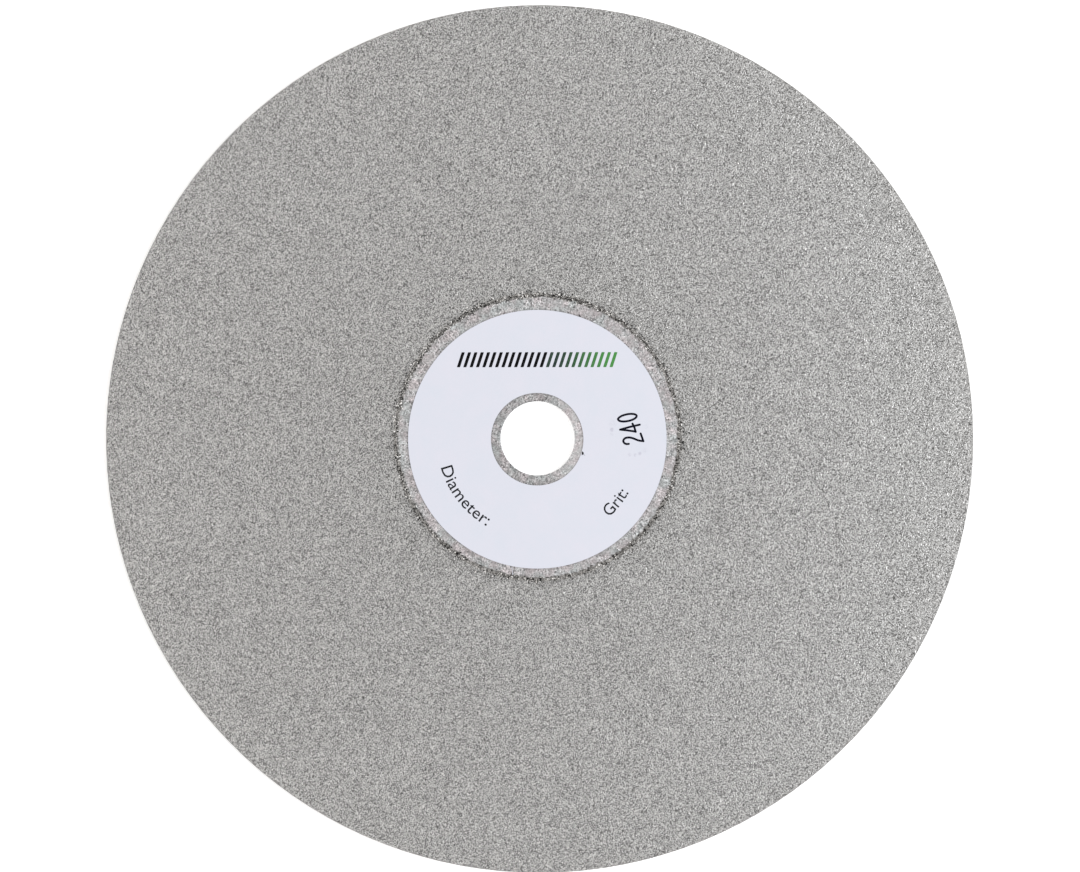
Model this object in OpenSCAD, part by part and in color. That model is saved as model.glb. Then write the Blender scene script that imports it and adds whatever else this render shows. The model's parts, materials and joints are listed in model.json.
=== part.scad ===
// Diamond grinding wheel: a flat lapidary lap disc. A stamped steel blank carries one
// layer of diamond crystals in plated nickel, round a bare centre with a paper label.
// Origin: centre of the bore on the back face. +Z points out of the working face, and
// +Y is the top of the label.

/* [Steel blank] */
// Outer diameter over the plating
disc_d = 150; // [100:1:200]
// Thickness of the bare blank
core_t = 1.0; // [0.8:0.1:2]
// Chamfer left by deburring the blank's rim
rim_break = 0.15; // [0.05:0.05:0.3]
// Chamfer left by deburring the edges of the bore
bore_break = 0.2; // [0.05:0.05:0.3]

/* [Arbor] */
// Diameter of the half-inch spindle that the wheel goes on
spindle_d = 12.7; // [10:0.1:16]
// Gap between the spindle and the wall of the bore, on each side
spindle_clearance = 0.08; // [0.05:0.01:0.3]

/* [Plating] */
// Diameter of the round mask that keeps the centre bare while the rest is plated
mask_d = 48.4; // [40:0.1:60]
// How far off centre the mask was laid, sideways
mask_shift_x = 0.06; // [-0.3:0.01:0.3]
// How far off centre the mask was laid, upwards
mask_shift_y = 0.21; // [-0.3:0.01:0.3]
// Width of the rough ridge that builds up against the mask
ridge_w = 0.8; // [0.4:0.1:1.5]
// Height that the ridge stands above the grit
ridge_rise = 0.05; // [0:0.01:0.1]
// Thickness of the nickel that holds the crystals
nickel_t = 0.08; // [0.05:0.01:0.2]
// Height that the crystals stand out of the nickel
grit_t = 0.05; // [0.02:0.01:0.15]

/* [Paper label] */
// Bare steel between the label and the mask, on each side
label_gap = 1.84; // [1:0.01:4]
// Bare steel between the bore and the label, on each side
label_hole_gap = 1.56; // [1:0.01:3]
// How far off centre the label was stuck, sideways
label_shift_x = -0.06; // [-0.3:0.01:0.3]
// How far off centre the label was stuck, upwards
label_shift_y = -0.15; // [-0.3:0.01:0.3]
// Thickness of the adhesive film under the label
adhesive_t = 0.04; // [0.02:0.01:0.08]
// Thickness of the label paper
paper_t = 0.1; // [0.06:0.01:0.2]
// Depth that ink soaks into the paper
ink_t = 0.03; // [0.02:0.01:0.05]

/* [Printed bars] */
// Height of the row of slanted bars
bar_h = 2.6; // [1:0.1:4]
// Width of one bar
bar_w = 0.55; // [0.3:0.05:1]
// Gap between two bars
bar_gap = 0.55; // [0.3:0.05:1]
// Lean of the bars from upright, in degrees
bar_lean = 18; // [0:1:30]
// Paper between the label's hole and the row
bars_above_hole = 4.45; // [1:0.05:6]
// Paper left between each end of the row and the label's edge
bars_side_margin = 2.3; // [1:0.1:5]
// Share of the row that is printed in the dark ink, the rest being green
dark_share = 0.58; // [0.2:0.01:0.8]

/* [Captions and grit number] */
// Height of a printed letter
letter_h = 1.6; // [1:0.1:3]
// Width of a printed letter
letter_w = 0.8; // [0.4:0.1:1.2]
// How far outside the middle of the label the captions run
caption_out = 2.1; // [0:0.1:3]
// Height of a hand-drawn numeral
numeral_h = 3.4; // [2:0.1:5]
// Width of a hand-drawn numeral
numeral_w = 1.5; // [1:0.1:2]
// Gap between two numerals
numeral_gap = 0.45; // [0.4:0.05:1]
// Width of the marker's stroke
pen_w = 0.35; // [0.2:0.05:0.5]
// How far outside the middle of the label the number is written
number_out = 0.95; // [0:0.05:2]
// Direction from the bore to the number, in degrees
number_angle = 6.5; // [-20:0.5:20]
// Turn of the number's baseline from sideways, in degrees
number_turn = 101; // [80:1:120]

/* [Hidden] */

// A long way past any face that is cut through
through = 5;
round_fn = 180;
pen_fn = 24;

disc_r = disc_d / 2;
bore_r = spindle_d / 2 + spindle_clearance;
core_r = disc_r - nickel_t;

// Heights above the back face, from the blank upwards
nickel_top = core_t + nickel_t;
grit_top = nickel_top + grit_t;
ridge_top = grit_top + ridge_rise;
paper_z = core_t + adhesive_t;
paper_top = paper_z + paper_t;

mask_r = mask_d / 2;
coat_r = mask_r + ridge_w;
mask_shift = [mask_shift_x, mask_shift_y];

label_r = mask_r - label_gap;
label_hole_r = bore_r + label_hole_gap;
label_mid_r = (label_r + label_hole_r) / 2;
label_shift = [label_shift_x, label_shift_y];

// The row of bars is as long as the label is at the row's upper edge
bars_low = label_hole_r + bars_above_hole;
bars_high = bars_low + bar_h;
bars_half = sqrt(label_r * label_r - bars_high * bars_high) - bars_side_margin;
bar_slant = bar_h * tan(bar_lean);
bar_pitch = bar_w + bar_gap;
bar_count = floor((2 * bars_half - bar_slant + bar_gap) / bar_pitch);
dark_count = round(bar_count * dark_share);
bars_start = -(bar_count * bar_pitch - bar_gap + bar_slant) / 2;

// Each caption: its number of letters, the direction of its first one, and the gap between two
captions = [[9, 201, 0.6], [5, 316, 0.1]];
caption_r = label_mid_r + caption_out;

numeral_pitch = numeral_w + numeral_gap;
numeral_bow = numeral_w / 2;
number_r = label_mid_r + number_out;

// Blank stamped from sheet, with a plain bore and deburred edges
module steel_core() {
    color("#b4b3b2")
    rotate_extrude($fn = round_fn)
    polygon([
        [bore_r, bore_break],
        [bore_r + bore_break, 0],
        [core_r - rim_break, 0],
        [core_r, rim_break],
        [core_r, core_t - rim_break],
        [core_r - rim_break, core_t],
        [bore_r + bore_break, core_t],
        [bore_r, core_t - bore_break]
    ]);
}

// The round area that the mask covers, grown to a given radius
module masked_area(r) {
    translate([mask_shift.x, mask_shift.y, -through])
    cylinder(r = r, h = 2 * through, $fn = round_fn);
}

// Nickel over the face outside the mask, which also runs down over the rim
module nickel_bond() {
    color("#9d9b99")
    difference() {
        rotate_extrude($fn = round_fn)
        polygon([
            [0, core_t],
            [core_r - rim_break, core_t],
            [core_r, core_t - rim_break],
            [core_r, rim_break],
            [disc_r, rim_break],
            [disc_r, nickel_top - rim_break],
            [disc_r - rim_break, nickel_top],
            [0, nickel_top]
        ]);
        masked_area(coat_r);
    }
}

// The crystals' standing height, as one even layer on the nickel
module diamond_grit() {
    color("#a9a7a5")
    difference() {
        translate([0, 0, nickel_top])
        cylinder(r = disc_r - rim_break, h = grit_t, $fn = round_fn);
        masked_area(coat_r);
    }
}

// Ridge of nickel and loose crystals that grew against the edge of the mask
module mask_edge_ridge() {
    shoulder = ridge_w / 4;
    color("#6f6c69")
    translate([mask_shift.x, mask_shift.y, 0])
    rotate_extrude($fn = round_fn)
    polygon([
        [mask_r, core_t],
        [coat_r, core_t],
        [coat_r, grit_top],
        [coat_r - shoulder, ridge_top],
        [mask_r + shoulder, ridge_top],
        [mask_r, nickel_top]
    ]);
}

// A flat ring with the label's outline
module label_ring(z, thickness) {
    translate([label_shift.x, label_shift.y, z])
    rotate_extrude($fn = round_fn)
    translate([label_hole_r, 0])
    square([label_r - label_hole_r, thickness]);
}

// Bars of the row, counted from its left end
module bars(first, last) {
    for (i = [first : last])
    translate([bars_start + i * bar_pitch, bars_low])
    polygon([[0, 0], [bar_w, 0], [bar_w + bar_slant, bar_h], [bar_slant, bar_h]]);
}

module dark_bars() {
    bars(0, dark_count - 1);
}

module green_bars() {
    bars(dark_count, bar_count - 1);
}

// Angle, seen from the label's centre, of an arc as long as a given length
function arc_angle(length, r) = length / r * 180 / PI;

// One block for each letter of the two printed captions
module caption_letters() {
    for (c = captions, i = [0 : c[0] - 1])
    rotate(c[1] + i * arc_angle(letter_w + c[2], caption_r))
    translate([caption_r, 0])
    square([letter_h, letter_w], center = true);
}

// A straight stroke of the marker, with round ends
module pen_line(from, to) {
    run = to - from;
    translate(from)
    rotate(atan2(run.y, run.x))
    translate([0, -pen_w / 2])
    square([norm(run), pen_w]);
    for (end = [from, to])
    translate(end)
    circle(d = pen_w, $fn = pen_fn);
}

// A curved stroke about the origin, through the upper half
module pen_bow(r) {
    intersection() {
        difference() {
            circle(r = r + pen_w / 2, $fn = 2 * pen_fn);
            circle(r = r - pen_w / 2, $fn = 2 * pen_fn);
        }
        translate([-2 * r, 0])
        square([4 * r, 2 * r]);
    }
}

module numeral_two() {
    bow_y = numeral_h / 2 - numeral_bow;
    foot_y = -numeral_h / 2;
    translate([0, bow_y]) pen_bow(numeral_bow);
    pen_line([numeral_bow, bow_y], [-numeral_bow, foot_y]);
    pen_line([-numeral_bow, foot_y], [numeral_bow, foot_y]);
}

module numeral_four() {
    stem_x = numeral_bow / 3;
    bar_y = -numeral_h / 5;
    pen_line([stem_x, numeral_h / 2], [-numeral_bow, bar_y]);
    pen_line([-numeral_bow, bar_y], [numeral_bow, bar_y]);
    pen_line([stem_x, numeral_h / 2], [stem_x, -numeral_h / 2]);
}

module numeral_zero() {
    side_y = numeral_h / 2 - numeral_bow;
    for (side = [-1, 1])
    pen_line([side * numeral_bow, -side_y], [side * numeral_bow, side_y]);
    translate([0, side_y]) pen_bow(numeral_bow);
    rotate(180) translate([0, side_y]) pen_bow(numeral_bow);
}

// The strokes of the number, turned to read upwards
module number_strokes() {
    rotate(number_angle)
    translate([number_r, 0])
    rotate(number_turn - number_angle) {
        translate([-numeral_pitch, 0]) numeral_two();
        numeral_four();
        translate([numeral_pitch, 0]) numeral_zero();
    }
}

// Ink in the label's own frame, from the depth it soaks to and up by h
module soaked_in(h) {
    translate([label_shift.x, label_shift.y, paper_top - ink_t])
    linear_extrude(height = h)
    children();
}

module label_adhesive() {
    color("#cfcdc4") label_ring(core_t, adhesive_t);
}

// Paper ring, without the places where ink fills its upper face
module label_paper() {
    color("#e1e3ec")
    difference() {
        label_ring(paper_z, paper_t);
        soaked_in(through) {
            dark_bars();
            green_bars();
            caption_letters();
            number_strokes();
        }
    }
}

module dark_print() {
    color("#2b2b2e") soaked_in(ink_t) dark_bars();
}

module green_print() {
    color("#4f9a55") soaked_in(ink_t) green_bars();
}

module caption_print() {
    color("#2f3036") soaked_in(ink_t) caption_letters();
}

module grit_number() {
    color("#17171a") soaked_in(ink_t) number_strokes();
}

steel_core();
nickel_bond();
diamond_grit();
mask_edge_ridge();
label_adhesive();
label_paper();
dark_print();
green_print();
caption_print();
grit_number();
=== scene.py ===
"""Looks of the diamond grinding wheel, a lapidary disc with a plated grit face and a paper label.

The steel blank, the nickel bond and the adhesive keep their CAD shapes. The grit, the ridge at
its inner edge, the label and everything printed or written on it are modelled here instead.
"""
import json
import math
import random

import bmesh
import bpy
import numpy as np
from mathutils import Matrix, Vector, noise


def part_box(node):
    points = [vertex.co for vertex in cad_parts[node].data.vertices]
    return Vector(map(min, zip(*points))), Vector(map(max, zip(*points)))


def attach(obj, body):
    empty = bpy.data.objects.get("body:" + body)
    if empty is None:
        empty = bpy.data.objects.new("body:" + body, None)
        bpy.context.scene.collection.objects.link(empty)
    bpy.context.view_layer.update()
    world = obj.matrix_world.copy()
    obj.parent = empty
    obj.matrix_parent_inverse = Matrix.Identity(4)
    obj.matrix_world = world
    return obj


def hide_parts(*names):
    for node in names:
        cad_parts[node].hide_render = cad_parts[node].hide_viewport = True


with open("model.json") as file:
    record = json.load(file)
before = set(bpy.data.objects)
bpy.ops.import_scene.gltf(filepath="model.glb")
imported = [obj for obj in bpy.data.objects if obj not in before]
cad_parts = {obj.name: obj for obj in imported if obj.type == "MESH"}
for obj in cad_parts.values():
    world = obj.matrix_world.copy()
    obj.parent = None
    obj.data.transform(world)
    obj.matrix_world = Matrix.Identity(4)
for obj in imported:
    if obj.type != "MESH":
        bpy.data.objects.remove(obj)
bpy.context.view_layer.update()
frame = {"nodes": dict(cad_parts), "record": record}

MM = 0.001


def round_node(node):
    """Centre and radius of a round CAD node, and the heights of its back and front."""
    low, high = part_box(node)
    middle = (low + high) / 2
    return Vector((middle.x, middle.y, 0)), (high.x - low.x) / 2, low.z, high.z


# The frame that everything here is placed by
_, DISC_R, _, NICKEL_TOP = round_node("nickel_bond")
_, _, _, GRIT_TOP = round_node("diamond_grit")
RIDGE_CENTRE, RIDGE_OUTER_R, CORE_TOP, _ = round_node("mask_edge_ridge")
LABEL_CENTRE, LABEL_R, PAPER_Z, PAPER_TOP = round_node("label_paper")
BORE_R = frame["record"]["mounts"][0]["dims"]["r_mm"] * MM

# Grit coat. Crystals of this grit are 0.06 mm across. They are too fine to show, so their faces
# are drawn twice as large, and the mesh has a peak or a hollow every 0.18 mm
CRYSTAL_PITCH = 0.18 * MM
FACE_SIZE = 0.12 * MM
# How far a peak strays from its grid point, as a share of the pitch
CRYSTAL_STRAY = 0.36
COAT_TILES = 4

# Ridge at the mask's edge: its width, and how its line wanders, as wavelength and reach in
# millimetres
RIDGE_W = 0.8 * MM
RIDGE_STEPS = 1080
RIDGE_WANDER = ((1.6, 0.12), (5, 0.16))
LUMP_SIZE = 0.3 * MM
NODULES = 5000
NODULE_H = 0.05 * MM
# Nodules gather in clusters of this size
CLUSTER_SIZE = 0.9 * MM
# Each kind: its share, whether it also strays inwards, its spread, its least and greatest size in
# millimetres, and its shades: the darkest are partly the nodules' own colour and partly painted
# shadow along the ridge, and those above 1 are painted glints
NODULE_KINDS = ((5, True, 0.18, 0.07, 0.13, (0.02, 0.04, 0.1, 0.6)),
                (3, True, 0.28, 0.06, 0.11, (2.4, 1.8)),
                (4, False, 0.5, 0.06, 0.12, (0.02, 0.06, 0.3, 2.2)))
# The dark line's place, as a share of the ridge's width in from its outer edge
LINE_IN = 0.6
# The ridge is thickest at this angle round the wheel, and how much more nodules crowd there
THICK_SIDE = math.radians(110)
THICKER = 0.22

# Label
LABEL_HOLE_R = 7.99 * MM
EDGE_ROUND = 0.02 * MM
INK_FILM = 0.006 * MM
INK_CORNER = 0.1 * MM
BAR_W = 0.55 * MM
BAR_GAP = 0.55 * MM
BAR_LEAN = math.radians(18)
PEN_W = 0.37 * MM
NUMBER_OUT = 16.13 * MM
NUMBER_ANGLE = math.radians(6.5)
NUMBER_TURN = math.radians(101.3)
CAPTION_H = 2.05 * MM
# Faint finger marks: place, radius in millimetres, and depth
FINGER_MARKS = ((12.8, 1.5, 0.5, 0.4), (12.8, 0.7, 0.4, 0.2), (13.0, 2.6, 0.9, 0.12),
                (15.9, -2.8, 0.4, 0.25), (16.9, -2.9, 0.4, 0.3), (17.7, -2.6, 0.45, 0.3),
                (18.5, -2.1, 0.6, 0.15), (18.7, 2.0, 0.5, 0.15))
# Ink sinks into paper, so its gloss is weak
INK_SPECULAR = 0.06
# Specks of grinding dust at the paper's edges: place and size, in millimetres
SWARF = ((7.82, -2.55, 0.2), (7.84, -2.72, 0.14), (7.68, -2.86, 0.07), (8.05, -2.88, 0.05),
         (8.18, -2.92, 0.04), (7.76, -2.3, 0.06), (7.3, 21.15, 0.13), (7.42, 21.05, 0.08),
         (5.4, 21.7, 0.08))
SWARF_H = 0.03 * MM
# A fibre that curls out from under the label: its path in millimetres
FIBRE = ((-4.46, -22.3), (-4.4, -22.7), (-4.28, -23.0), (-4.26, -23.35), (-4.36, -23.6))
FIBRE_W = 0.1 * MM

# Camera over the disc: how wide its frame is at the disc's face, the point it is aimed at, and how
# far it leans from the wheel's axis
LENS = 100
SENSOR = 36
FRAME_W = 186.6 * MM
AIM_X = 0.44 * MM
AIM_Y = 0.4 * MM
LEAN = (math.radians(0.55), math.radians(2.0), 0)

# Table, and the pale studio around it
TABLE_R = 3.0
TABLE_DROP = 0.02 * MM
STUDIO_COLOUR = (1, 0.985, 0.965, 1)
STUDIO_STRENGTH = 0.53

# Doubled points lie closer together than this
SAME_POINT = 0.0001 * MM


# ---------------------------------------------------------------- materials

def linear(hex_colour):
    """A colour socket's value for an sRGB hex colour."""
    srgb = [int(hex_colour[i:i + 2], 16) / 255 for i in (1, 3, 5)]
    return (*[c / 12.92 if c <= 0.04045 else ((c + 0.055) / 1.055) ** 2.4 for c in srgb], 1)


def add(tree, kind, inputs, **settings):
    """Adds a node with its settings, and gives its inputs their values or links."""
    node = tree.nodes.new(kind)
    for name, value in settings.items():
        setattr(node, name, value)
    for name, value in inputs.items():
        if isinstance(value, bpy.types.NodeSocket):
            tree.links.new(value, node.inputs[name])
        else:
            node.inputs[name].default_value = value
    return node


def blank_material(name):
    """A new material with an empty tree, and the Object coordinates to build on."""
    material = bpy.data.materials.new(name)
    material.use_nodes = True
    tree = material.node_tree
    tree.nodes.clear()
    return material, tree, add(tree, "ShaderNodeTexCoord", {}).outputs["Object"]


def electroplated_grit():
    """Diamond grit in electroplated nickel: bright crystal faces over darker metal between them,
    which gives the neutral grey, fine-grained sparkle of a lap."""
    material, tree, place = blank_material("electroplated_diamond_grit")
    # Faces of single crystals, twice as large as the real 0.06 mm
    faces = add(tree, "ShaderNodeTexVoronoi", {"Vector": place, "Scale": 1 / FACE_SIZE})
    face_light = add(tree, "ShaderNodeMapRange", {
        "Value": faces.outputs["Color"], "From Min": 0.24, "From Max": 0.76,
    }).outputs["Result"]
    crystal = add(tree, "ShaderNodeAttribute", {}, attribute_name="crystal").outputs["Fac"]
    light = add(tree, "ShaderNodeMix", {
        "Factor": 0.2, 2: face_light, 3: crystal,
    }).outputs[0]
    colour = add(tree, "ShaderNodeMix", {
        "Factor": light, 6: linear("#3a3938"), 7: linear("#e0dfde"),
    }, data_type="RGBA").outputs[2]
    # Unevenness of the plating bath, in patches of some millimetres
    patches = add(tree, "ShaderNodeTexNoise", {
        "Vector": place, "Scale": 1 / (5 * MM), "Detail": 2.0, "Roughness": 0.6,
    }).outputs["Fac"]
    patch_light = add(tree, "ShaderNodeMapRange", {
        "Value": patches, "From Min": 0.3, "From Max": 0.7, "To Min": 0.975, "To Max": 1.025,
    }).outputs["Result"]
    # Painted shade: the coat is painted darker towards the middle and lighter outwards
    flat = add(tree, "ShaderNodeVectorMath", {0: place, 1: (1, 1, 0)}, operation="MULTIPLY")
    radius = add(tree, "ShaderNodeVectorMath", {0: flat.outputs["Vector"]}, operation="LENGTH")
    radial_painted_shade = add(tree, "ShaderNodeMapRange", {
        "Value": radius.outputs["Value"], "From Min": 25 * MM, "From Max": 68 * MM,
        "To Min": 0.95, "To Max": 1.0,
    }).outputs["Result"]
    # Painted shadow: a band of the coat just outside the ridge is painted darker
    ridge_painted_shadow = add(tree, "ShaderNodeMapRange", {
        "Value": radius.outputs["Value"], "From Min": 24.8 * MM, "From Max": 26.2 * MM,
        "To Min": 0.86, "To Max": 1.0,
    }).outputs["Result"]
    shade = add(tree, "ShaderNodeMath", {0: patch_light, 1: radial_painted_shade}, operation="MULTIPLY")
    shade = add(tree, "ShaderNodeMath", {0: shade.outputs[0], 1: ridge_painted_shadow},
                operation="MULTIPLY")
    shaded = add(tree, "ShaderNodeVectorMath", {0: colour, "Scale": shade.outputs[0]},
                 operation="SCALE").outputs["Vector"]
    roughness = add(tree, "ShaderNodeMapRange", {
        "Value": light, "To Min": 0.6, "To Max": 0.4,
    }).outputs["Result"]
    bump = add(tree, "ShaderNodeBump", {
        "Height": face_light, "Strength": 0.5, "Distance": 0.02 * MM,
    }).outputs["Normal"]
    shader = add(tree, "ShaderNodeBsdfPrincipled", {
        "Base Color": shaded, "Metallic": 0.8, "Roughness": roughness, "Normal": bump,
    })
    add(tree, "ShaderNodeOutputMaterial", {"Surface": shader.outputs["BSDF"]})
    return material


def matt_plated_nickel():
    """Matt electroplated nickel: a warm grey metal with a fine nodular skin, as a plating bath
    leaves it on a rim that carries little grit."""
    material, tree, place = blank_material("matt_plated_nickel")
    nodules = add(tree, "ShaderNodeTexVoronoi", {"Vector": place, "Scale": 1 / (0.2 * MM)})
    clouds = add(tree, "ShaderNodeTexNoise", {
        "Vector": place, "Scale": 1 / (1.5 * MM), "Detail": 3.0, "Roughness": 0.6,
    }).outputs["Fac"]
    uneven = add(tree, "ShaderNodeMix", {
        "Factor": 0.5, 2: clouds, 3: nodules.outputs["Color"],
    }).outputs[0]
    colour = add(tree, "ShaderNodeMix", {
        "Factor": uneven, 6: linear("#6a6866"), 7: linear("#cfcdcb"),
    }, data_type="RGBA").outputs[2]
    roughness = add(tree, "ShaderNodeMapRange", {
        "Value": clouds, "From Min": 0.3, "From Max": 0.7, "To Min": 0.4, "To Max": 0.6,
    }).outputs["Result"]
    bump = add(tree, "ShaderNodeBump", {
        "Height": nodules.outputs["Distance"], "Strength": 0.7, "Distance": 0.04 * MM,
    }).outputs["Normal"]
    shader = add(tree, "ShaderNodeBsdfPrincipled", {
        "Base Color": colour, "Metallic": 1.0, "Roughness": roughness, "Normal": bump,
    })
    add(tree, "ShaderNodeOutputMaterial", {"Surface": shader.outputs["BSDF"]})
    return material


def burnt_nickel_and_painted_shade():
    """Nickel burnt by the strong current along the mask: coarse nodules, with painted shade near
    black in the gaps between them and a painted glint where a crystal stands out."""
    material, tree, place = blank_material("burnt_nickel_and_painted_shade")
    faces = add(tree, "ShaderNodeTexVoronoi", {"Vector": place, "Scale": 1 / FACE_SIZE})
    face_light = add(tree, "ShaderNodeMapRange", {
        "Value": faces.outputs["Color"], "From Min": 0.1, "From Max": 0.9,
    }).outputs["Result"]
    burns = add(tree, "ShaderNodeTexNoise", {
        "Vector": place, "Scale": 1 / (0.7 * MM), "Detail": 3.0, "Roughness": 0.7,
    }).outputs["Fac"]
    clean = add(tree, "ShaderNodeMapRange", {
        "Value": burns, "From Min": 0.42, "From Max": 0.58, "To Min": 0.72, "To Max": 1.0,
    }).outputs["Result"]
    grain = add(tree, "ShaderNodeMix", {
        "Factor": face_light, 6: linear("#383634"), 7: linear("#dfdcd9"),
    }, data_type="RGBA").outputs[2]
    # The lumps' tones carry painted shade in hollows and on the darkest nodules, and painted
    # glints on the brightest
    lump_light = add(tree, "ShaderNodeAttribute", {}, attribute_name="crystal").outputs["Fac"]
    shade = add(tree, "ShaderNodeMath", {0: clean, 1: lump_light}, operation="MULTIPLY")
    colour = add(tree, "ShaderNodeVectorMath", {0: grain, "Scale": shade.outputs[0]},
                 operation="SCALE").outputs["Vector"]
    bump = add(tree, "ShaderNodeBump", {
        "Height": burns, "Strength": 0.8, "Distance": 0.05 * MM,
    }).outputs["Normal"]
    roughness = add(tree, "ShaderNodeMapRange", {
        "Value": clean, "To Min": 0.8, "To Max": 0.45,
    }).outputs["Result"]
    shader = add(tree, "ShaderNodeBsdfPrincipled", {
        "Base Color": colour, "Metallic": 0.8, "Roughness": roughness, "Normal": bump,
    })
    add(tree, "ShaderNodeOutputMaterial", {"Surface": shader.outputs["BSDF"]})
    return material


def flashed_steel():
    """Cold-rolled steel with a nickel flash: satin and light grey, cloudy, with short streaks
    and fine pits. A nut has burnished one side of the bore. Along the paper's edges the steel is
    darker, partly from dirt and partly as painted contact shadow of the paper."""
    material, tree, place = blank_material("nickel_flashed_steel")
    clouds = add(tree, "ShaderNodeTexNoise", {
        "Vector": place, "Scale": 1 / (1.6 * MM), "Detail": 3.0, "Roughness": 0.6,
    }).outputs["Fac"]
    tint = add(tree, "ShaderNodeTexNoise", {
        "Vector": place, "Scale": 1 / (1.8 * MM), "Detail": 2.0,
    }).outputs["Fac"]
    tint = add(tree, "ShaderNodeMapRange", {
        "Value": tint, "From Min": 0.35, "From Max": 0.65,
    }).outputs["Result"]
    pits = add(tree, "ShaderNodeTexVoronoi", {"Vector": place, "Scale": 1 / (0.2 * MM)})
    # Where the face lies in the wheel: out from the bore, and from the label's two edges
    flat = add(tree, "ShaderNodeVectorMath", {0: place, 1: (1, 1, 0)}, operation="MULTIPLY")
    radius = add(tree, "ShaderNodeVectorMath", {0: flat.outputs["Vector"]}, operation="LENGTH")
    from_label = add(tree, "ShaderNodeVectorMath", {0: flat.outputs["Vector"],
                                                    1: LABEL_CENTRE}, operation="DISTANCE")
    rims = [add(tree, "ShaderNodeMath", {
        0: add(tree, "ShaderNodeMath", {0: from_label.outputs["Value"], 1: edge_r},
               operation="SUBTRACT").outputs[0],
    }, operation="ABSOLUTE").outputs[0] for edge_r in (LABEL_R, LABEL_HOLE_R)]
    nearest = add(tree, "ShaderNodeMath", {0: rims[0], 1: rims[1]}, operation="MINIMUM")
    # Painted contact shadow, mixed with dirt: the steel darkens within 0.35 mm of the label's
    # edges
    dirt_and_painted_shadow = add(tree, "ShaderNodeMapRange", {
        "Value": nearest.outputs[0], "From Min": 0.05 * MM, "From Max": 0.35 * MM,
        "To Min": 0.78, "To Max": 1.0,
    }).outputs["Result"]
    # Rays: wiping and the mask leave short streaks that run out from the bore
    xyz = add(tree, "ShaderNodeSeparateXYZ", {"Vector": place})
    turn = add(tree, "ShaderNodeMath", {0: xyz.outputs["Y"], 1: xyz.outputs["X"]},
               operation="ARCTAN2").outputs[0]
    outside = add(tree, "ShaderNodeMath", {0: radius.outputs["Value"], 1: LABEL_R / 2},
                  operation="GREATER_THAN").outputs[0]
    ring_r = add(tree, "ShaderNodeMapRange", {
        "Value": outside, "To Min": LABEL_HOLE_R, "To Max": LABEL_R,
    }).outputs["Result"]
    around = add(tree, "ShaderNodeMath", {0: turn, 1: ring_r}, operation="MULTIPLY").outputs[0]
    along = add(tree, "ShaderNodeMath", {0: radius.outputs["Value"], 1: 0.3},
                operation="MULTIPLY").outputs[0]
    unrolled = add(tree, "ShaderNodeCombineXYZ", {"X": around, "Y": along}).outputs["Vector"]
    streaks = add(tree, "ShaderNodeTexNoise", {
        "Vector": unrolled, "Scale": 1 / (0.3 * MM), "Detail": 2.0, "Roughness": 0.7,
    }).outputs["Fac"]
    right = add(tree, "ShaderNodeMapRange", {
        "Value": xyz.outputs["X"], "From Min": 2.5 * MM, "From Max": 5.5 * MM,
    }).outputs["Result"]
    by_bore = add(tree, "ShaderNodeMapRange", {
        "Value": radius.outputs["Value"], "From Min": 9 * MM, "From Max": 8.5 * MM,
    }).outputs["Result"]
    burnish = add(tree, "ShaderNodeMath", {0: right, 1: by_bore},
                  operation="MULTIPLY").outputs[0]
    # Clouds and the burnish say where the surface is smooth and where it is pitted
    pitted = add(tree, "ShaderNodeMapRange", {
        "Value": add(tree, "ShaderNodeMath", {0: burnish, 1: 0.2, 2: clouds},
                     operation="MULTIPLY_ADD").outputs[0],
        "From Min": 0.4, "From Max": 0.68, "To Min": 1.1, "To Max": 0.4,
    }).outputs["Result"]
    grain = add(tree, "ShaderNodeMix", {
        "Factor": 0.5, 2: streaks, 3: pits.outputs["Color"],
    }).outputs[0]
    depth = add(tree, "ShaderNodeMath", {0: grain, 1: 0.5}, operation="SUBTRACT")
    depth = add(tree, "ShaderNodeMath", {0: depth.outputs[0], 1: pitted},
                operation="MULTIPLY").outputs[0]
    light = add(tree, "ShaderNodeMapRange", {
        "Value": depth, "From Min": -0.25, "From Max": 0.25, "To Min": 0.2, "To Max": 1.8,
    }).outputs["Result"]
    burnished = add(tree, "ShaderNodeMapRange", {
        "Value": burnish, "To Min": 1.0, "To Max": 1.48,
    }).outputs["Result"]
    # The broken edge of the bore holds some grime
    edge = add(tree, "ShaderNodeMapRange", {
        "Value": radius.outputs["Value"], "From Min": BORE_R + 0.2 * MM,
        "From Max": BORE_R + 0.35 * MM, "To Min": 0.95, "To Max": 1.0,
    }).outputs["Result"]
    # Water has dulled the steel inside the paper's hole
    dulled = add(tree, "ShaderNodeMapRange", {
        "Value": by_bore, "To Min": 1.0, "To Max": 0.87,
    }).outputs["Result"]
    shade = light
    for factor in (dirt_and_painted_shadow, dulled, burnished, edge):
        shade = add(tree, "ShaderNodeMath", {0: shade, 1: factor},
                    operation="MULTIPLY").outputs[0]
    tinted = add(tree, "ShaderNodeMix", {
        "Factor": tint, 6: linear("#c3bdbf"), 7: linear("#bcbfc0"),
    }, data_type="RGBA").outputs[2]
    colour = add(tree, "ShaderNodeVectorMath", {0: tinted, "Scale": shade},
                 operation="SCALE").outputs["Vector"]
    roughness = add(tree, "ShaderNodeMapRange", {
        "Value": pitted, "To Min": 0.34, "To Max": 0.52,
    }).outputs["Result"]
    bump = add(tree, "ShaderNodeBump", {
        "Height": depth, "Strength": 0.4, "Distance": 0.02 * MM,
    }).outputs["Normal"]
    shader = add(tree, "ShaderNodeBsdfPrincipled", {
        "Base Color": colour, "Metallic": 1.0, "Roughness": roughness, "Normal": bump,
    })
    add(tree, "ShaderNodeOutputMaterial", {"Surface": shader.outputs["BSDF"]})
    return material


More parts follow.
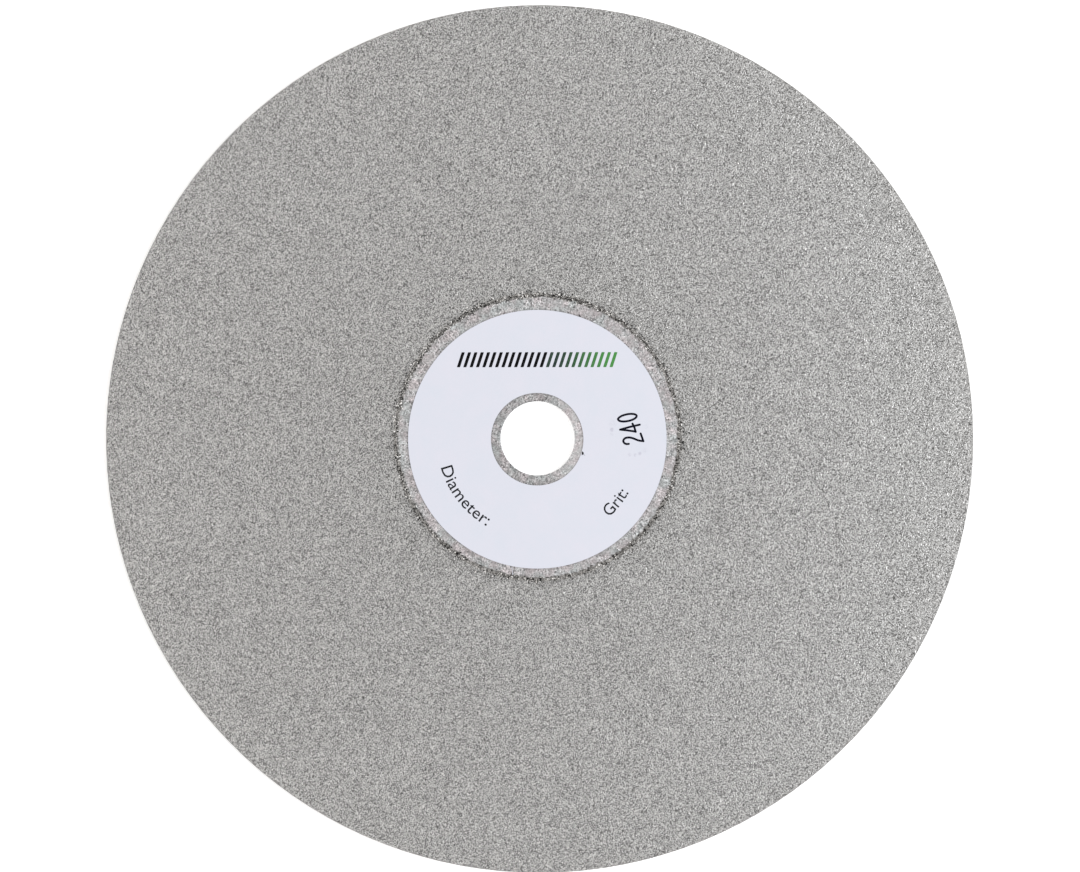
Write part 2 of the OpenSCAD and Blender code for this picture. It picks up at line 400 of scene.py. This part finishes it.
def acrylic_adhesive():
    """Acrylic label adhesive: a thin clear film that looks pale yellow-grey at its cut edge."""
    material, tree, place = blank_material("acrylic_label_adhesive")
    bubbles = add(tree, "ShaderNodeTexNoise", {
        "Vector": place, "Scale": 1 / (0.4 * MM), "Detail": 2.0,
    }).outputs["Fac"]
    colour = add(tree, "ShaderNodeMix", {
        "Factor": bubbles, 6: linear("#a9a59a"), 7: linear("#cbc8bd"),
    }, data_type="RGBA").outputs[2]
    roughness = add(tree, "ShaderNodeMapRange", {
        "Value": bubbles, "To Min": 0.25, "To Max": 0.4,
    }).outputs["Result"]
    bump = add(tree, "ShaderNodeBump", {
        "Height": bubbles, "Strength": 0.3, "Distance": 0.01 * MM,
    }).outputs["Normal"]
    shader = add(tree, "ShaderNodeBsdfPrincipled", {
        "Base Color": colour, "Roughness": roughness, "IOR": 1.47, "Normal": bump,
    })
    add(tree, "ShaderNodeOutputMaterial", {"Surface": shader.outputs["BSDF"]})
    return material


def label_stock():
    """Calendered white label paper with optical brightener: cool white, almost even, with a
    soft fibre cloud and faint finger marks beside the number."""
    material, tree, place = blank_material("calendered_label_paper")
    fibres = add(tree, "ShaderNodeTexNoise", {
        "Vector": place, "Scale": 1 / (0.5 * MM), "Detail": 4.0, "Roughness": 0.7,
    }).outputs["Fac"]
    clouds = add(tree, "ShaderNodeTexNoise", {
        "Vector": place, "Scale": 1 / (3.5 * MM), "Detail": 2.0,
    }).outputs["Fac"]
    uneven = add(tree, "ShaderNodeMix", {"Factor": 0.4, 2: clouds, 3: fibres}).outputs[0]
    paper = add(tree, "ShaderNodeMix", {
        "Factor": uneven, 6: linear("#d2d9e4"), 7: linear("#dfdce7"),
    }, data_type="RGBA").outputs[2]
    # Grey finger marks on both sides of the number
    marks = [add(tree, "ShaderNodeMapRange", {
        "Value": add(tree, "ShaderNodeVectorMath", {0: place, 1: (x * MM, y * MM, PAPER_TOP)},
                     operation="DISTANCE").outputs["Value"],
        "From Min": size * MM, "From Max": size * MM / 3, "To Max": depth,
    }).outputs["Result"] for x, y, size, depth in FINGER_MARKS]
    marked = marks[0]
    for mark in marks[1:]:
        marked = add(tree, "ShaderNodeMath", {0: marked, 1: mark}, operation="ADD").outputs[0]
    blotchy = add(tree, "ShaderNodeMapRange", {
        "Value": fibres, "From Min": 0.4, "From Max": 0.6,
    }).outputs["Result"]
    marked = add(tree, "ShaderNodeMath", {0: marked, 1: blotchy}, operation="MULTIPLY").outputs[0]
    colour = add(tree, "ShaderNodeMix", {
        "Factor": marked, 6: paper, 7: linear("#8d89a0"),
    }, data_type="RGBA").outputs[2]
    roughness = add(tree, "ShaderNodeMapRange", {
        "Value": fibres, "To Min": 0.5, "To Max": 0.65,
    }).outputs["Result"]
    bump = add(tree, "ShaderNodeBump", {
        "Height": fibres, "Strength": 0.15, "Distance": 0.01 * MM,
    }).outputs["Normal"]
    shader = add(tree, "ShaderNodeBsdfPrincipled", {
        "Base Color": colour, "Roughness": roughness, "Normal": bump,
    })
    add(tree, "ShaderNodeOutputMaterial", {"Surface": shader.outputs["BSDF"]})
    return material


def ink(name, thin, full, gloss):
    """Ink on paper: matt, and a little uneven where the paper shows through it."""
    material, tree, place = blank_material(name)
    cover = add(tree, "ShaderNodeTexNoise", {
        "Vector": place, "Scale": 1 / (0.45 * MM), "Detail": 3.0, "Roughness": 0.6,
    }).outputs["Fac"]
    amount = add(tree, "ShaderNodeMapRange", {
        "Value": cover, "From Min": 0.35, "From Max": 0.6,
    }).outputs["Result"]
    colour = add(tree, "ShaderNodeMix", {
        "Factor": amount, 6: linear(thin), 7: linear(full),
    }, data_type="RGBA").outputs[2]
    roughness = add(tree, "ShaderNodeMapRange", {
        "Value": cover, "To Min": gloss - 0.1, "To Max": gloss + 0.1,
    }).outputs["Result"]
    bump = add(tree, "ShaderNodeBump", {
        "Height": cover, "Strength": 0.15, "Distance": 0.01 * MM,
    }).outputs["Normal"]
    shader = add(tree, "ShaderNodeBsdfPrincipled", {
        "Base Color": colour, "Roughness": roughness, "Normal": bump,
        "Specular IOR Level": INK_SPECULAR,
    })
    add(tree, "ShaderNodeOutputMaterial", {"Surface": shader.outputs["BSDF"]})
    return material


def blended_green_ink(low_x, high_x):
    """Split-fountain green ink: it starts as a dark teal beside the black and grows to a leaf
    green at the row's right end."""
    material, tree, place = blank_material("split_fountain_green_ink")
    across = add(tree, "ShaderNodeSeparateXYZ", {"Vector": place}).outputs["X"]
    along = add(tree, "ShaderNodeMapRange", {
        "Value": across, "From Min": low_x + 1.6 * MM, "From Max": high_x,
    }, interpolation_type="SMOOTHSTEP").outputs["Result"]
    cover = add(tree, "ShaderNodeTexNoise", {
        "Vector": place, "Scale": 1 / (0.45 * MM), "Detail": 3.0, "Roughness": 0.6,
    }).outputs["Fac"]
    blended = add(tree, "ShaderNodeMix", {
        "Factor": along, 6: linear("#242d30"), 7: linear("#4b8d47"),
    }, data_type="RGBA").outputs[2]
    colour = add(tree, "ShaderNodeMix", {
        "Factor": add(tree, "ShaderNodeMapRange", {
            "Value": cover, "From Min": 0.3, "From Max": 0.7, "To Min": 0.0, "To Max": 0.12,
        }).outputs["Result"],
        6: blended, 7: linear("#8fc090"),
    }, data_type="RGBA").outputs[2]
    roughness = add(tree, "ShaderNodeMapRange", {
        "Value": cover, "To Min": 0.4, "To Max": 0.6,
    }).outputs["Result"]
    bump = add(tree, "ShaderNodeBump", {
        "Height": cover, "Strength": 0.15, "Distance": 0.01 * MM,
    }).outputs["Normal"]
    shader = add(tree, "ShaderNodeBsdfPrincipled", {
        "Base Color": colour, "Roughness": roughness, "Normal": bump,
        "Specular IOR Level": INK_SPECULAR,
    })
    add(tree, "ShaderNodeOutputMaterial", {"Surface": shader.outputs["BSDF"]})
    return material


def white_table():
    """Backlit white acrylic, as under a product on a shooting table: it has no visible shade."""
    material, tree, place = blank_material("backlit_white_acrylic")
    haze = add(tree, "ShaderNodeTexNoise", {"Vector": place, "Scale": 3.0}).outputs["Fac"]
    colour = add(tree, "ShaderNodeMix", {
        "Factor": haze, 6: linear("#f7f7f7"), 7: linear("#fbfbfb"),
    }, data_type="RGBA").outputs[2]
    shader = add(tree, "ShaderNodeBsdfPrincipled", {
        "Base Color": colour, "Roughness": 0.7, "Emission Color": (1, 1, 1, 1),
        "Emission Strength": 0.4,
    })
    add(tree, "ShaderNodeOutputMaterial", {"Surface": shader.outputs["BSDF"]})
    return material


# ---------------------------------------------------------------- pieces

def piece(name, bm, material, replaces=None):
    """A finished piece on the wheel's one body, made from a bmesh."""
    mesh = bpy.data.meshes.new(name)
    bm.to_mesh(mesh)
    bm.free()
    shape = bpy.data.objects.new(name, mesh)
    bpy.context.scene.collection.objects.link(shape)
    mesh.materials.append(material)
    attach(shape, "root")
    if replaces:
        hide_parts(replaces)
    return shape


def turned_ring(points, steps, centre):
    """A closed outline of (radius, height) points, turned round an upright axis."""
    bm = bmesh.new()
    outline = [bm.verts.new((r, 0, z)) for r, z in points]
    edges = [bm.edges.new((a, b)) for a, b in zip(outline, outline[1:] + outline[:1])]
    bmesh.ops.spin(bm, geom=outline + edges, cent=(0, 0, 0), axis=(0, 0, 1),
                   angle=2 * math.pi, steps=steps, use_merge=True)
    bmesh.ops.remove_doubles(bm, verts=bm.verts, dist=SAME_POINT)
    bmesh.ops.recalc_face_normals(bm, faces=bm.faces)
    bmesh.ops.translate(bm, verts=bm.verts, vec=centre)
    return bm


def grit_tile(column, row, material):
    """One square of the grit coat, cut to the disc's rim and to the ridge."""
    size = 2 * DISC_R / COAT_TILES
    cells = round(size / CRYSTAL_PITCH)
    pitch = size / cells
    corner = Vector((column * size - DISC_R, row * size - DISC_R, 0))
    middle = corner + Vector((size / 2, size / 2, 0))
    bm = bmesh.new()
    crystal = bm.verts.layers.float.new("crystal")
    bmesh.ops.create_grid(bm, x_segments=cells, y_segments=cells, size=size / 2,
                          matrix=Matrix.Translation(middle))
    inner_r = RIDGE_OUTER_R - RIDGE_W / 3
    off_coat = [v for v in bm.verts
                if v.co.length > DISC_R or (v.co - RIDGE_CENTRE).length < inner_r]
    bmesh.ops.delete(bm, geom=off_coat, context="VERTS")
    bmesh.ops.delete(bm, geom=[v for v in bm.verts if not v.link_faces], context="VERTS")
    for v in bm.verts:
        spot = Vector((v.co.x / pitch, v.co.y / pitch, 0)) + Vector((0.5, 0.5, 0.5))
        stray = noise.cell_vector(spot)
        height = (1 + noise.cell(spot + Vector((0, 0, 7)))) / 2
        v[crystal] = height
        v.co.x += (stray.x - 0.5) * 2 * CRYSTAL_STRAY * pitch
        v.co.y += (stray.y - 0.5) * 2 * CRYSTAL_STRAY * pitch
        v.co.z = NICKEL_TOP + (GRIT_TOP - NICKEL_TOP) * height
    rim = [e for e in bm.edges if e.is_boundary]
    skirt = bmesh.ops.extrude_edge_only(bm, edges=rim)["geom"]
    for v in skirt:
        if isinstance(v, bmesh.types.BMVert):
            v.co.z = CORE_TOP
    bmesh.ops.holes_fill(bm, edges=[e for e in bm.edges if e.is_boundary], sides=0)
    bmesh.ops.recalc_face_normals(bm, faces=bm.faces)
    tile = piece(f"grit_coat_{column}{row}", bm, material, "diamond_grit")
    flat_map(tile.data, corner, size)
    return tile


def flat_map(mesh, corner, size):
    """A UV map seen from above, in which the square from corner fills the unit square."""
    places = np.empty(3 * len(mesh.vertices), np.float32)
    mesh.vertices.foreach_get("co", places)
    corners = np.empty(len(mesh.loops), np.int32)
    mesh.loops.foreach_get("vertex_index", corners)
    flat = (places.reshape(-1, 3)[corners, :2] - np.array(corner.xy)) / size
    layer = mesh.uv_layers.new(name="OFBake")
    layer.uv.foreach_set("vector", np.clip(flat, 0, 1).astype(np.float32).ravel())


def ridge_line(angle):
    """How far the ridge's dark line strays from the mask's edge at an angle round it."""
    out = Vector((math.cos(angle), math.sin(angle), 0)) * RIDGE_OUTER_R
    return sum(noise.noise(out / (wave * MM)) * reach * MM for wave, reach in RIDGE_WANDER)


def mask_ridge(material):
    """The bead of nickel against the mask's edge, in lumps that wander and thin out."""
    arch = 12
    half = RIDGE_W / 2
    middle_r = RIDGE_OUTER_R - half
    points = [(middle_r - half * math.cos(math.pi * i / arch),
               NICKEL_TOP + (GRIT_TOP - NICKEL_TOP) * math.sin(math.pi * i / arch))
              for i in range(arch + 1)]
    points = [(points[0][0], CORE_TOP)] + points + [(points[-1][0], CORE_TOP)]
    bm = turned_ring(points, RIDGE_STEPS, Vector())
    crystal = bm.verts.layers.float.new("crystal")
    for v in bm.verts:
        flat = Vector((v.co.x, v.co.y, 0))
        out = flat.normalized()
        across = (flat.length - middle_r) / half
        lump = noise.noise(v.co / LUMP_SIZE)
        # The inner foot strays, and the outer one keeps to the grit
        inner = 0.5 - 0.5 * across
        stray = ridge_line(math.atan2(out.y, out.x)) + lump * LUMP_SIZE
        v.co += out * stray * inner
        if v.co.z > NICKEL_TOP:
            v.co.z = NICKEL_TOP + (v.co.z - NICKEL_TOP) * (1 + 0.8 * lump)
        # Painted shade: a lump's colour follows its height, so hollows are painted darker and tops
        # lighter
        v[crystal] = 0.75 + 0.35 * lump
    bmesh.ops.translate(bm, verts=bm.verts, vec=RIDGE_CENTRE)
    bmesh.ops.recalc_face_normals(bm, faces=bm.faces)
    return piece("mask_ridge", bm, material, "mask_edge_ridge")


def ridge_nodules(material):
    """Loose crystals and burnt nodules that the plating caught along the mask: most of them in
    a broken line, the rest spilt outwards over the grit. Their darkest tones are partly painted
    shadow along the ridge, and their brightest are painted glints."""
    draw = random.Random(11)
    bm = bmesh.new()
    crystal = bm.verts.layers.float.new("crystal")
    for _ in range(NODULES):
        angle = draw.uniform(0, 2 * math.pi)
        out = Vector((math.cos(angle), math.sin(angle), 0))
        crowding = (noise.noise(out * RIDGE_OUTER_R / CLUSTER_SIZE) + draw.uniform(-0.5, 0.5)
                    + THICKER * math.cos(angle - THICK_SIDE))
        if crowding < 0:
            continue
        kind = draw.choices(NODULE_KINDS, [share for share, *_ in NODULE_KINDS])[0]
        _, inward, spread, least, most, shades = kind
        stray = draw.gauss(0, spread) if inward else abs(draw.gauss(0, spread))
        r = RIDGE_OUTER_R - RIDGE_W * LINE_IN + ridge_line(angle) + stray * MM
        size = draw.uniform(least, most) * MM
        place = (Matrix.Translation(RIDGE_CENTRE)
                 @ Matrix.Rotation(angle, 4, "Z")
                 @ Matrix.Translation((r, 0, GRIT_TOP))
                 @ Matrix.Rotation(draw.uniform(0, math.pi), 4, "Z")
                 @ Matrix.Diagonal((size * draw.uniform(1, 2), size, NODULE_H, 1)))
        made = bmesh.ops.create_icosphere(bm, subdivisions=1, radius=1, matrix=place)
        # The nodule's shade paints shadow when low and a glint when above 1
        light = draw.choice(shades)
        for v in made["verts"]:
            v[crystal] = light
            v.co.x += draw.uniform(-0.25, 0.25) * size
            v.co.y += draw.uniform(-0.25, 0.25) * size
    return piece("ridge_nodules", bm, material)


def label(material):
    """The paper ring, with its punched edges slightly rounded."""
    points = [(LABEL_HOLE_R, PAPER_Z), (LABEL_R, PAPER_Z), (LABEL_R, PAPER_TOP),
              (LABEL_HOLE_R, PAPER_TOP)]
    bm = turned_ring(points, 360, LABEL_CENTRE)
    rims = [e for e in bm.edges
            if abs(e.verts[0].co.z - e.verts[1].co.z) < EDGE_ROUND
            and e.calc_face_angle(0) > math.radians(60)]
    bmesh.ops.bevel(bm, geom=rims, offset=EDGE_ROUND, offset_type="OFFSET", segments=3,
                    profile=0.5, affect="EDGES", material=-1)
    return piece("paper_label", bm, material, "label_paper")


def slanted_bars(name, node, material):
    """The bars of one ink, with corners as round as a print plate leaves them."""
    low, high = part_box(node)
    height = high.y - low.y
    slant = height * math.tan(BAR_LEAN)
    pitch = BAR_W + BAR_GAP
    count = round((high.x - low.x - slant - BAR_W) / pitch) + 1
    bm = bmesh.new()
    for i in range(count):
        middle = Vector((low.x + i * pitch + (BAR_W + slant) / 2, low.y + height / 2,
                         PAPER_TOP + INK_FILM / 4))
        lean = Matrix(((1, math.tan(BAR_LEAN), 0, 0), (0, 1, 0, 0), (0, 0, 1, 0), (0, 0, 0, 1)))
        bmesh.ops.create_cube(bm, size=1, matrix=(
            Matrix.Translation(middle) @ lean
            @ Matrix.Diagonal((BAR_W, height, 1.5 * INK_FILM, 1))))
    corners = [e for e in bm.edges if abs(e.verts[0].co.z - e.verts[1].co.z) > INK_FILM]
    bmesh.ops.bevel(bm, geom=corners, offset=INK_CORNER, offset_type="OFFSET", segments=3,
                    profile=0.5, affect="EDGES", material=-1)
    return piece(name, bm, material, node)


def closed_bmesh(curve):
    """The bmesh that a curve makes, with its caps joined on and its faces outward."""
    holder = bpy.data.objects.new(curve.name, curve)
    bpy.context.scene.collection.objects.link(holder)
    bpy.context.view_layer.update()
    mesh = bpy.data.meshes.new_from_object(holder)
    bpy.data.objects.remove(holder)
    bm = bmesh.new()
    bm.from_mesh(mesh)
    bpy.data.meshes.remove(mesh)
    bmesh.ops.remove_doubles(bm, verts=bm.verts, dist=SAME_POINT)
    bmesh.ops.recalc_face_normals(bm, faces=bm.faces)
    return bm


def drawn_line(points, height, width, roundness):
    """A round line through points in millimetres: straight runs through three, and a smooth
    curve along more."""
    pen = bpy.data.curves.new("line", "CURVE")
    pen.dimensions = "3D"
    pen.bevel_depth = width / 2
    pen.bevel_resolution = roundness
    pen.use_fill_caps = True
    line = pen.splines.new("POLY" if len(points) == 3 else "NURBS")
    line.points.add(len(points) - 1)
    for point, (x, y) in zip(line.points, points):
        point.co = (x * MM, y * MM, height, 1)
    line.use_endpoint_u = True
    return closed_bmesh(pen)


def text_mesh(words, cap_height):
    """Words in the built-in typeface, as a thin slab of mesh that starts at x = 0."""
    curve = bpy.data.curves.new(words, "FONT")
    curve.body = words
    curve.extrude = 0.75 * INK_FILM
    # Ink spreads a little past the letters' outlines
    curve.offset = 0.004
    curve.resolution_u = 3
    bm = closed_bmesh(curve)
    # The height of the first capital sets the scale
    top = max(v.co.y for v in bm.verts if v.co.x < 0.5)
    left = min(v.co.x for v in bm.verts)
    bmesh.ops.translate(bm, verts=bm.verts, vec=(-left, 0, 0))
    bmesh.ops.scale(bm, verts=bm.verts, vec=(cap_height / top, cap_height / top, 1))
    return bm


def caption(name, words, first, last, baseline_r, material):
    """Words on an arc about the label's centre, from one angle to another in degrees, with
    their tops towards the hole."""
    bm = text_mesh(words, CAPTION_H)
    width = max(v.co.x for v in bm.verts)
    first = math.radians(first)
    last = math.radians(last)
    for v in bm.verts:
        angle = first + (last - first) * v.co.x / width
        r = baseline_r - v.co.y
        v.co = LABEL_CENTRE + Vector((r * math.cos(angle), r * math.sin(angle),
                                      v.co.z + PAPER_TOP + INK_FILM / 4))
    bmesh.ops.recalc_face_normals(bm, faces=bm.faces)
    return piece(name, bm, material, "caption_print")


# Strokes of the number in its own frame, in millimetres: x runs along the line of writing and y
# up the digits
TWO = [(-2.55, 0.7), (-2.55, 1.15), (-2.25, 1.5), (-1.85, 1.6), (-1.5, 1.3), (-1.4, 0.85),
       (-1.5, 0.25), (-1.8, -0.3), (-2.2, -0.85), (-2.45, -1.35), (-2.55, -1.85)]
TWO_FOOT = [(-2.6, -1.85), (-1.9, -1.75), (-1.2, -1.65)]
FOUR_SIDE = [(0.15, 1.65), (-0.25, 0.4), (-0.7, -0.85)]
FOUR_BAR = [(-0.75, -0.87), (0, -0.8), (0.75, -0.6)]
FOUR_STEM = [(0.15, 1.7), (0.28, 0), (0.33, -1.8)]


def pen_strokes(material):
    """The grit number, drawn by hand with a fine felt marker."""
    zero = [(1.93 + 0.6 * math.cos(math.radians(a)), 0.06 + 1.66 * math.sin(math.radians(a)))
            for a in range(80, 450, 20)]
    strokes = [TWO, TWO_FOOT, FOUR_SIDE, FOUR_BAR, FOUR_STEM, zero]
    middle = LABEL_CENTRE + Vector((NUMBER_OUT * math.cos(NUMBER_ANGLE),
                                    NUMBER_OUT * math.sin(NUMBER_ANGLE), PAPER_TOP))
    place = (Matrix.Translation(middle)
             @ Matrix.Rotation(NUMBER_TURN, 4, "Z")
             @ Matrix.Diagonal((1, 1, 2 * INK_FILM / PEN_W, 1)))
    bm = bmesh.new()
    for stroke in strokes:
        mesh = bpy.data.meshes.new("stroke")
        line = drawn_line(stroke, 0, PEN_W, 3)
        line.to_mesh(mesh)
        line.free()
        bm.from_mesh(mesh)
        bpy.data.meshes.remove(mesh)
        for x, y in (stroke[0], stroke[-1]):
            bmesh.ops.create_uvsphere(bm, u_segments=12, v_segments=8, radius=PEN_W / 2,
                                      matrix=Matrix.Translation((x * MM, y * MM, 0)))
    bmesh.ops.transform(bm, verts=bm.verts, matrix=place)
    bmesh.ops.recalc_face_normals(bm, faces=bm.faces)
    return piece("grit_number_240", bm, material, "grit_number")


def swarf_specks(material):
    """Specks of dark grinding dust stuck at the paper's edges."""
    draw = random.Random(3)
    bm = bmesh.new()
    crystal = bm.verts.layers.float.new("crystal")
    for x, y, size in SWARF:
        place = (Matrix.Translation((x * MM, y * MM, PAPER_TOP))
                 @ Matrix.Diagonal((size * MM, size * MM, SWARF_H, 1)))
        made = bmesh.ops.create_icosphere(bm, subdivisions=2, radius=1, matrix=place)
        for v in made["verts"]:
            v[crystal] = 0.08
            v.co.x += draw.uniform(-0.15, 0.15) * size * MM
            v.co.y += draw.uniform(-0.15, 0.15) * size * MM
    return piece("swarf_specks", bm, material)


def paper_fibre(material):
    """One paper fibre that curls out from under the label's cut edge."""
    return piece("paper_fibre", drawn_line(FIBRE, PAPER_TOP, FIBRE_W, 2), material)


# ---------------------------------------------------------------- the wheel

for node, slot_material in (("steel_core", flashed_steel()), ("nickel_bond", matt_plated_nickel()),
                            ("label_adhesive", acrylic_adhesive())):
    slots = frame["nodes"][node].data.materials
    slots.clear()
    slots.append(slot_material)

coat_material = electroplated_grit()
for tile_column in range(COAT_TILES):
    for tile_row in range(COAT_TILES):
        grit_tile(tile_column, tile_row, coat_material)

ridge_material = burnt_nickel_and_painted_shade()
mask_ridge(ridge_material)
ridge_nodules(ridge_material)

label_paper = label_stock()
label(label_paper)
paper_fibre(label_paper)
swarf_specks(ridge_material)
black_ink = ink("black_offset_ink", "#161618", "#060608", 0.5)
slanted_bars("dark_bars", "dark_print", black_ink)
green_low, green_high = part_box("green_print")
slanted_bars("green_bars", "green_print", blended_green_ink(green_low.x, green_high.x))
grey_ink = ink("grey_offset_ink", "#34363b", "#17181c", 0.5)
caption("caption_diameter", "Diameter:", 196.7, 239.6, 17.4 * MM, grey_ink)
caption("caption_grit", "Grit:", 312.8, 329.6, 18.35 * MM, grey_ink)
pen_strokes(ink("felt_marker_ink", "#161627", "#080816", 0.45))

# ---------------------------------------------------------------- table, light and camera

table_mesh = bmesh.new()
bmesh.ops.create_circle(table_mesh, cap_ends=True, segments=96, radius=TABLE_R)
bmesh.ops.translate(table_mesh, verts=table_mesh.verts, vec=(0, 0, -TABLE_DROP))
table = bpy.data.objects.new("table", bpy.data.meshes.new("table"))
table_mesh.to_mesh(table.data)
table_mesh.free()
table.data.materials.append(white_table())
bpy.context.scene.collection.objects.link(table)


def soft_light(name, place, size, colour, watts):
    """A square softbox aimed at the disc."""
    lamp = bpy.data.lights.new(name, "AREA")
    lamp.shape = "SQUARE"
    lamp.size = size
    lamp.color = colour
    lamp.energy = watts
    holder = bpy.data.objects.new(name, lamp)
    holder.location = place
    holder.rotation_euler = Vector(place).to_track_quat("Z", "Y").to_euler()
    bpy.context.scene.collection.objects.link(holder)


soft_light("right_softbox", (1.0, -0.02, 1.05), 0.6, (0.96, 0.98, 1.0), 13.5)
soft_light("left_softbox", (-0.9, 0.05, 1.05), 0.8, (1.0, 0.96, 0.92), 4)

world = bpy.data.worlds.new("studio")
world.use_nodes = True
backdrop = world.node_tree.nodes["Background"]
backdrop.inputs["Color"].default_value = STUDIO_COLOUR
backdrop.inputs["Strength"].default_value = STUDIO_STRENGTH
bpy.context.scene.world = world
bpy.context.scene.view_settings.view_transform = "Standard"

camera = bpy.data.objects.new("camera", bpy.data.cameras.new("camera"))
camera.data.lens = LENS
camera.data.sensor_width = SENSOR
camera.data.clip_start = 0.01
camera.rotation_euler = LEAN
sight = camera.rotation_euler.to_matrix().col[2]
camera.location = Vector((AIM_X, AIM_Y, GRIT_TOP)) + sight * FRAME_W * LENS / SENSOR
bpy.context.scene.collection.objects.link(camera)
bpy.context.scene.camera = camera
